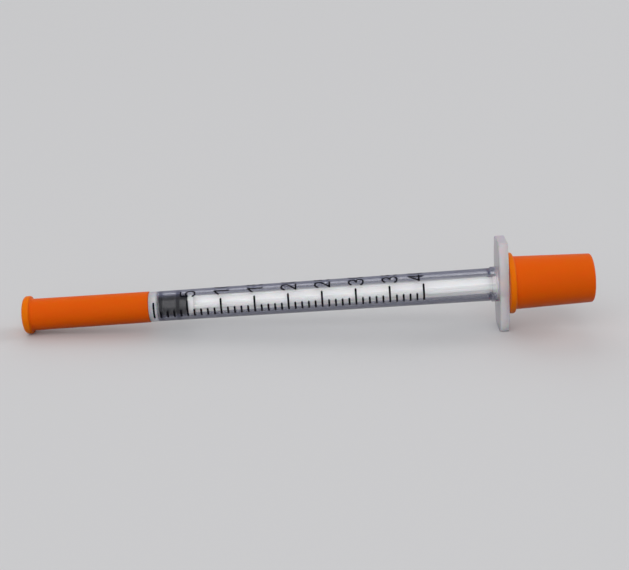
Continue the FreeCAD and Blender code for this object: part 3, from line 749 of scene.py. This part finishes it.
front, rear = span("gasket")
neck_front = rear - NECK_LENGTH
gasket = turned("gasket_rubber", [
    (front, 0, 0),
    (front + GASKET_CONE, GASKET_RADIUS, FRONT_SEAL_ROUND),
    (front + GASKET_CONE + SEAL_WIDTH, GASKET_RADIUS, SEAL_ROUND),
    (front + GASKET_CONE + SEAL_WIDTH + SEAL_SLOPE, GASKET_WAIST, WAIST_ROUND),
    (front + REAR_SEAL - SEAL_SLOPE, GASKET_WAIST, WAIST_ROUND),
    (front + REAR_SEAL, GASKET_RADIUS, SEAL_ROUND),
    (front + REAR_SEAL + SEAL_WIDTH, GASKET_RADIUS, SEAL_ROUND),
    (front + REAR_SEAL + SEAL_WIDTH + SEAL_SLOPE, GASKET_WAIST, WAIST_ROUND),
    (rear, GASKET_WAIST, WAIST_ROUND),
    (rear, NECK_RADIUS + BARB_GAP, 0),
    (neck_front + BARB_GAP, NECK_RADIUS + BARB_GAP, 0),
    (neck_front + BARB_GAP, BARB_RADIUS + BARB_GAP, 0),
    (neck_front, BARB_RADIUS + BARB_GAP, 0),
    (neck_front - BARB_LENGTH - BARB_GAP, BARB_NOSE + BARB_GAP, 0),
    (neck_front - BARB_LENGTH - BARB_GAP, 0, 0),
])
RUBBER_GRAIN = 0.00001
rubber = Finish("gasket_rubber", {"IOR": 1.52, "Specular IOR Level": 0.2})
dust = rubber.noise(3000, 3)
rubber.wears(Base_Color=rubber.blend(dust, (0.006, 0.006, 0.009, 1), (0.016, 0.016, 0.021, 1)),
             Roughness=0.38 + 0.2 * dust)
rubber.bumps(dust, RUBBER_GRAIN)
finished(gasket, "gasket", "plunger", rubber)


# Plunger rod: one white moulding. A barb holds the gasket, a disc pushes it, four ribs in a
# cross run back to the dished thumb disc.
DISC_RADIUS = 2.2
DISC_THICKNESS = 1.2
DISC_LAND = 0.35
RIBS = 4
RIB_REACH = 1.70
ROD_BOW = 0.28
RIB_HALF = 0.375
RIB_FLARE_REACH = 2.7
RIB_FLARE = 3.0
ROD_INNER_ROUND = 0.25
ROD_EDGE_ROUND = 0.12
RIB_JOIN = 0.05
RIB_FIRST_STEP = 0.1
RIB_EVEN_FROM = 1.0
RIB_LEVELS, FLARE_LEVELS = 60, 7
RIB_TIP_STEPS, RIB_EDGE_STEPS, RIB_INNER_STEPS = 3, 4, 4
BARB_NOSE_ROUND = 0.1
BARB_EDGE_ROUND = 0.08
BARB_ROOT_ROUND = 0.1
NECK_ROOT_ROUND = 0.15
DISC_FRONT_ROUND = 0.05
DISC_LAND_ROUND = 0.1
DISC_REAR_ROUND = 0.12
THUMB_RADIUS = 4.05
THUMB_THICKNESS = 1.5
THUMB_FRONT_ROUND = 0.35
THUMB_REAR_ROUND = 0.4
THUMB_DISH_RADIUS = 3.2


def crossed(reach):
    """One ring of the four ribs, as (near, up), starting at the middle of the upper rib's tip.

    An eighth of it is half a tip, a small edge arc, a flank and half of the arc in the inner
    corner. The rest is its mirror image and its turns.
    """
    edge_near, edge_up = RIB_HALF - ROD_EDGE_ROUND, reach - ROD_EDGE_ROUND
    inner = RIB_HALF + ROD_INNER_ROUND
    diagonal = math.pi * 1.25
    eighth_steps = TURN_STEPS // RIBS // 2
    flank_steps = eighth_steps - RIB_TIP_STEPS - RIB_EDGE_STEPS - RIB_INNER_STEPS
    tip_near = np.linspace(0, edge_near, RIB_TIP_STEPS, endpoint=False)
    arc = np.linspace(math.pi / 2, 0, RIB_EDGE_STEPS, endpoint=False)
    flank_up = np.linspace(edge_up, inner, flank_steps, endpoint=False)
    corner = np.linspace(math.pi, diagonal, RIB_INNER_STEPS, endpoint=False)
    eighth = np.concatenate([
        np.stack([tip_near, np.full(RIB_TIP_STEPS, reach)], 1),
        [edge_near, edge_up] + ROD_EDGE_ROUND * np.stack([np.cos(arc), np.sin(arc)], 1),
        np.stack([np.full(flank_steps, RIB_HALF), flank_up], 1),
        inner + ROD_INNER_ROUND * np.stack([np.cos(corner), np.sin(corner)], 1),
    ])
    deep = inner + ROD_INNER_ROUND * math.cos(diagonal)
    quarter = np.concatenate([eighth, [[deep, deep]], eighth[1:][::-1, ::-1]])
    return repeated(quarter, RIBS)


first, last = span("plunger_rod")
neck = first + BARB_LENGTH
disc = neck + NECK_LENGTH
disc_rear = disc + DISC_THICKNESS
thumb = last - THUMB_THICKNESS
front_part = rounded([
    (first, 0, 0),
    (first, BARB_NOSE, BARB_NOSE_ROUND),
    (neck, BARB_RADIUS, BARB_EDGE_ROUND),
    (neck, NECK_RADIUS, BARB_ROOT_ROUND),
    (disc, NECK_RADIUS, NECK_ROOT_ROUND),
    (disc, GASKET_RADIUS, DISC_FRONT_ROUND),
    (disc + DISC_LAND, GASKET_RADIUS, DISC_LAND_ROUND),
    (disc_rear, DISC_RADIUS, DISC_REAR_ROUND),
    (disc_rear, RIB_REACH + RIB_JOIN, 0),
])
rear_part = rounded([
    (thumb, RIB_FLARE_REACH + RIB_JOIN, 0),
    (thumb, THUMB_RADIUS, THUMB_FRONT_ROUND),
    (last, THUMB_RADIUS, THUMB_REAR_ROUND),
    (last, THUMB_DISH_RADIUS, DISH_RIM_ROUND),
    (last - DISH_DEPTH, THUMB_DISH_RADIUS - DISH_SLOPE, DISH_FLOOR_ROUND),
    (last - DISH_DEPTH, 0, 0),
])
rib_stations = np.concatenate([
    [disc_rear, disc_rear + RIB_FIRST_STEP],
    np.linspace(disc_rear + RIB_EVEN_FROM, thumb - RIB_FLARE, RIB_LEVELS),
    np.linspace(thumb - RIB_FLARE, thumb, FLARE_LEVELS)[1:]])
reaches = np.interp(rib_stations, [thumb - RIB_FLARE, thumb], [RIB_REACH, RIB_FLARE_REACH])
droops = ROD_BOW * np.sin(math.pi * (rib_stations - disc_rear) / (thumb - disc_rear))
ribs = np.concatenate([level(s, crossed(r) - [0, droop])
                       for s, r, droop in zip(rib_stations, reaches, droops)])
rod = skin("plunger_moulding", np.concatenate(
    [round_rings(front_part), ribs, round_rings(rear_part)]))
WHITE_RELIEF = 0.000012
white = Finish("white_plastic", {"IOR": 1.49, "Subsurface Weight": 0.15,
                                 "Subsurface Scale": 0.0006})
sink = white.noise(220, 2, (0.3, 1, 1))
fine = white.noise(7000, 2)
white.wears(Base_Color=white.blend(sink, (0.88, 0.88, 0.88, 1), (0.92, 0.92, 0.91, 1)),
            Roughness=0.30 + 0.15 * fine)
white.bumps(sink + 0.2 * fine, WHITE_RELIEF)
finished(rod, "plunger_rod", "plunger", white)


# Needle and its glue: a thin drawn steel tube with a ground point, stuck in the nose with a
# clear bead. Both stay as they are built and only get their finish.
steel = Finish("needle_steel", {"Metallic": 1.0})
drawn = steel.noise(9000, 2, (0.02, 1, 1))
steel.wears(Base_Color=steel.blend(drawn, (0.52, 0.53, 0.55, 1), (0.68, 0.69, 0.70, 1)),
            Roughness=0.16 + 0.14 * drawn)
glue = Finish("needle_glue", {"IOR": 1.5, "Transmission Weight": 0.8})
cured = glue.noise(2500, 2)
glue.wears(Base_Color=glue.blend(cured, (0.75, 0.66, 0.42, 1), (0.86, 0.79, 0.60, 1)),
           Roughness=0.08 + 0.1 * cured)
for node, finish in (("needle", steel), ("needle_adhesive", glue)):
    slots = frame["nodes"][node].data.materials
    slots.clear()
    slots.append(finish.material)


# The table, the light and the camera, which aren't part of the syringe. The camera stands
# where the photograph was taken from, as its marks and outlines give it.
FLOOR_HALF = 3.0
FLOOR_COLOUR = (0.76, 0.76, 0.77, 1)
FLOOR_FADE = (0.8, 2.6)
FLOOR_BOUNCE = (0.17, 0.17, 0.175, 1)
ROOM_COLOUR = (0.90, 0.90, 0.91, 1)
ROOM_LIGHT = 0.46
ROOM_SEEN = 0.66
FRAME_WIDTH = 629
FOCAL_PIXELS = 1196.5
SENSOR = 36.0
CAMERA_AT = (0.0040364, -0.232149, 0.0901584)
CAMERA_YAW = -0.01043
CAMERA_PITCH = 0.33347
CAMERA_ROLL = -0.01537
CLOSEST_SEEN = 0.01

# The floor fades into the room's tone between two distances from its middle, in metres. Seen,
# mirrored or through the plastic it has its pale colour, but it throws less light back.
mesh = bpy.data.meshes.new("table")
mesh.from_pydata(FLOOR_HALF * np.array([(-1, -1, 0), (1, -1, 0), (1, 1, 0), (-1, 1, 0)]), [],
                 [(0, 1, 2, 3)])
table = bpy.data.objects.new("table", mesh)
bpy.context.scene.collection.objects.link(table)
top = Finish("table_top", {"Roughness": 0.9, "Specular IOR Level": 0.0})
rays = ("Is Camera Ray", "Is Glossy Ray", "Is Transmission Ray")
seen = sum(top.node("ShaderNodeLightPath", {}, {}, ray) for ray in rays)
away = top.node("ShaderNodeVectorMath", {"operation": "LENGTH"}, {0: top.here()}, "Value")
top.wears(Base_Color=top.blend(seen, FLOOR_BOUNCE, FLOOR_COLOUR),
          Alpha=top.ramp(away, *FLOOR_FADE, 1.0, 0.0))
mesh.materials.append(top.material)

world = bpy.data.worlds.new("room")
bpy.context.scene.world = world
world.use_nodes = True
room_tree = world.node_tree
room = room_tree.nodes["Background"].inputs
room["Color"].default_value = ROOM_COLOUR
ray_kind = room_tree.nodes.new("ShaderNodeLightPath")
strength = room_tree.nodes.new("ShaderNodeMapRange")
strength.inputs["To Min"].default_value = ROOM_LIGHT
strength.inputs["To Max"].default_value = ROOM_SEEN
room_tree.links.new(ray_kind.outputs["Is Camera Ray"], strength.inputs["Value"])
room_tree.links.new(strength.outputs["Result"], room["Strength"])


def lamp(name, at, size, power, mirrored=True):
    """A square soft lamp that looks at the middle of the frame, its place and size in metres.
    One that isn't mirrored stays out of reflections, so it draws no streak along the plastic."""
    light = bpy.data.lights.new(name, "AREA")
    light.size, light.energy = size, power
    holder = bpy.data.objects.new(name, light)
    bpy.context.scene.collection.objects.link(holder)
    holder.location = at
    holder.rotation_euler = (-Vector(at)).to_track_quat("-Z", "Y").to_euler()
    holder.visible_glossy = mirrored


lamp("key", (-0.60, -2.70, 1.60), 4.4, 66.0, mirrored=False)
lamp("side", (2.60, 0.60, 1.80), 1.6, 15.0)
lamp("back", (-0.40, 2.60, 1.90), 2.4, 18.0, mirrored=False)

lens = bpy.data.cameras.new("camera")
lens.sensor_width = SENSOR
lens.lens = FOCAL_PIXELS / FRAME_WIDTH * SENSOR
lens.clip_start = CLOSEST_SEEN
camera = bpy.data.objects.new("camera", lens)
bpy.context.scene.collection.objects.link(camera)
sight = np.array([math.sin(CAMERA_YAW) * math.cos(CAMERA_PITCH),
                  math.cos(CAMERA_YAW) * math.cos(CAMERA_PITCH), -math.sin(CAMERA_PITCH)])
level_right = np.array([math.cos(CAMERA_YAW), -math.sin(CAMERA_YAW), 0])
level_up = np.cross(level_right, sight)
right = math.cos(CAMERA_ROLL) * level_right + math.sin(CAMERA_ROLL) * level_up
top_way = -math.sin(CAMERA_ROLL) * level_right + math.cos(CAMERA_ROLL) * level_up
matrix = np.eye(4)
matrix[:3, 0], matrix[:3, 1], matrix[:3, 2], matrix[:3, 3] = right, top_way, -sight, CAMERA_AT
camera.matrix_world = Matrix(matrix.tolist())
bpy.context.scene.camera = camera
bpy.context.scene.view_settings.view_transform = "Standard"
